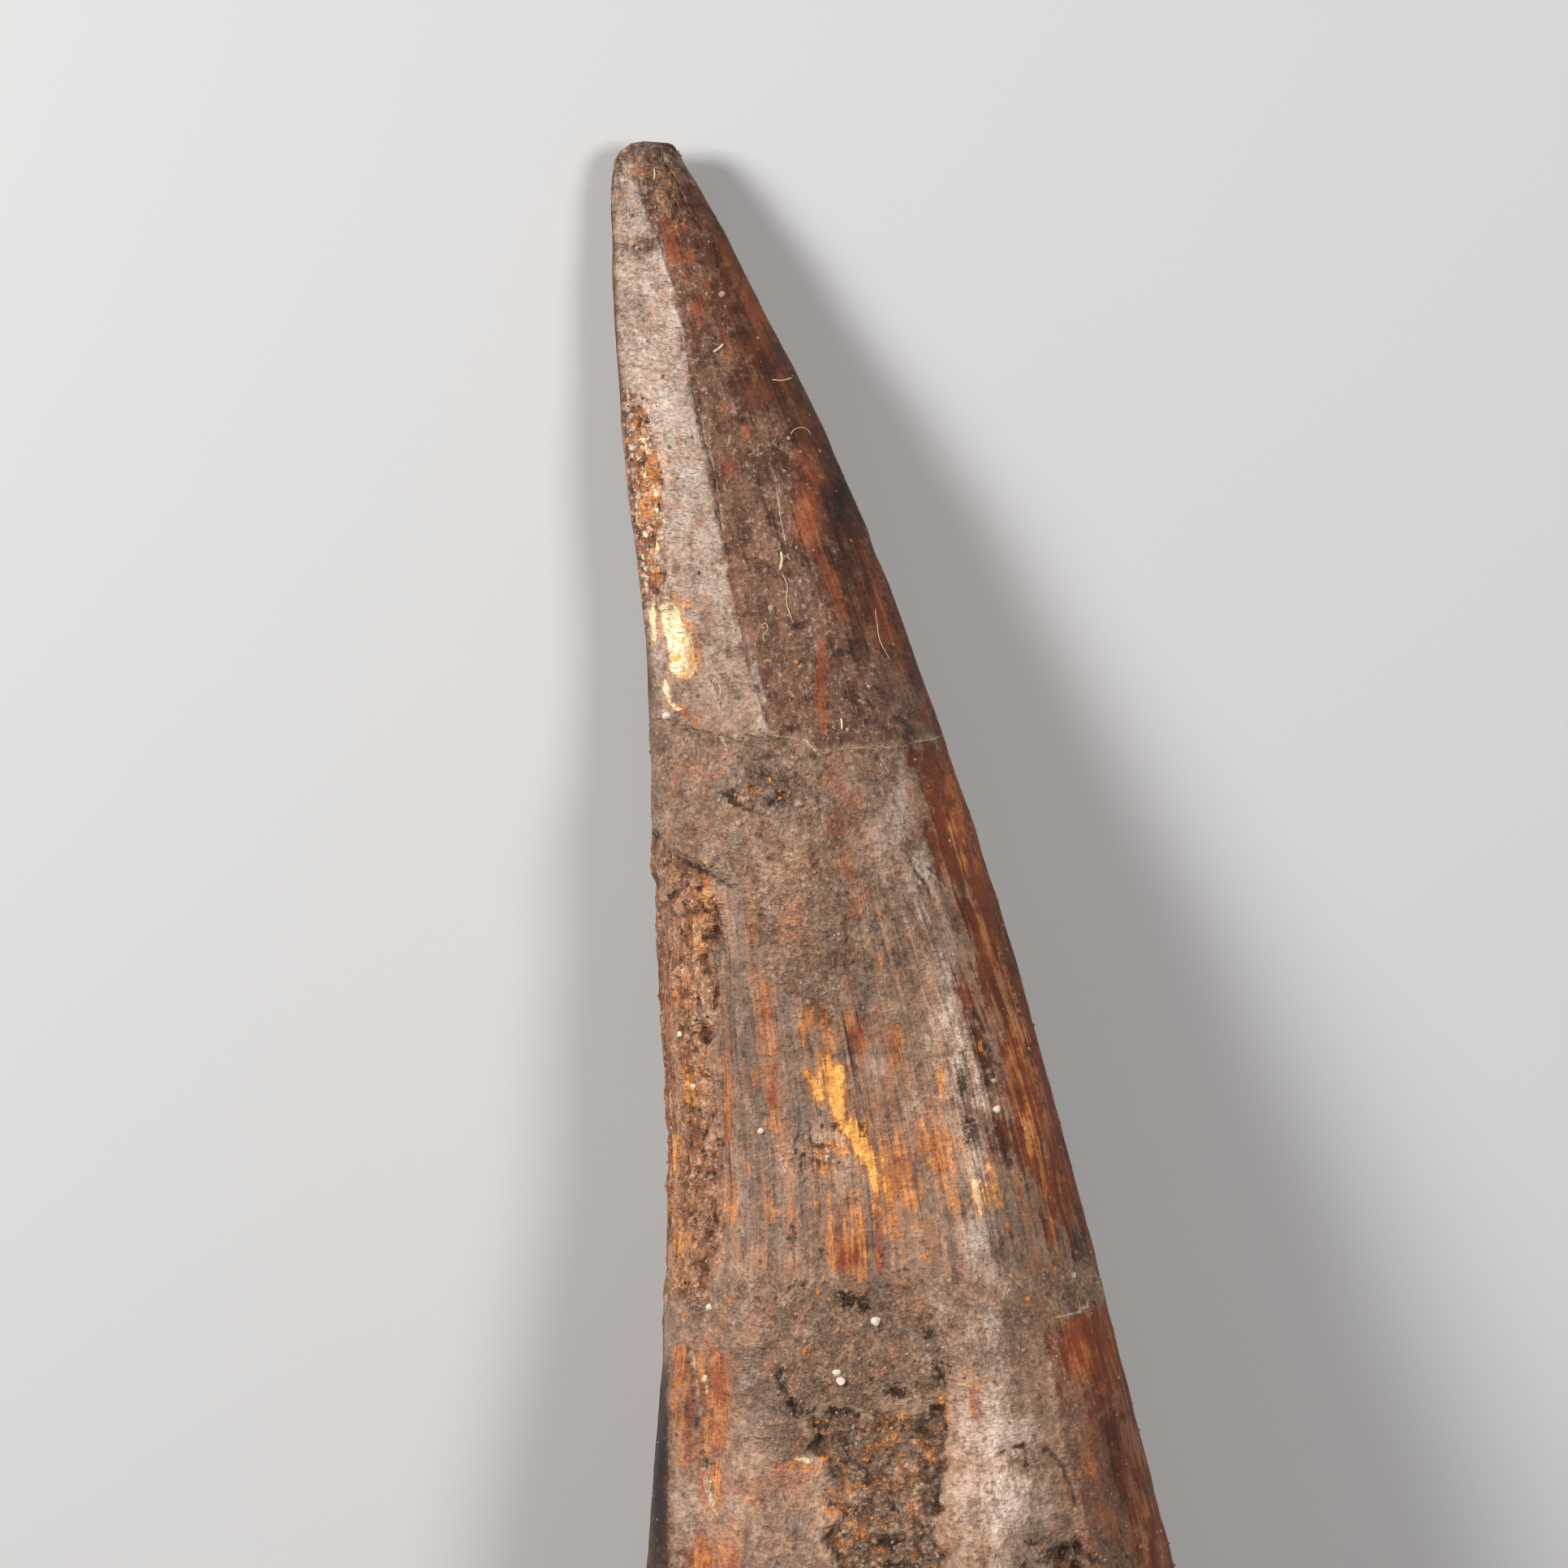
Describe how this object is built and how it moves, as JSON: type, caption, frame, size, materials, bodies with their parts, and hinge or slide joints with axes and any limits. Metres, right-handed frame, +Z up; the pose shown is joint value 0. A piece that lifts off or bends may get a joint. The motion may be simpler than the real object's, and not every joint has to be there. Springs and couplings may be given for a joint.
{
  "type": "fossil spinosaurus tooth",
  "caption": "Large fossil reptile tooth lying on its side: slightly hooked cone with a worn blunt tip, a flat wear facet, weathered breaks and a broken root.",
  "frame": {"origin": "middle of the footprint's bounding box, on the surface that the tooth lies on", "axes": "+X along the tooth towards the tip, +Y towards the hooked (concave) side, +Z up, out of the front face"},
  "size_m": [0.1332, 0.0428, 0.0349],
  "materials": {
    "fossil": "satin"
  },
  "bodies": {
    "root": {"tooth": "fossil"}
  },
  "joints": []
}
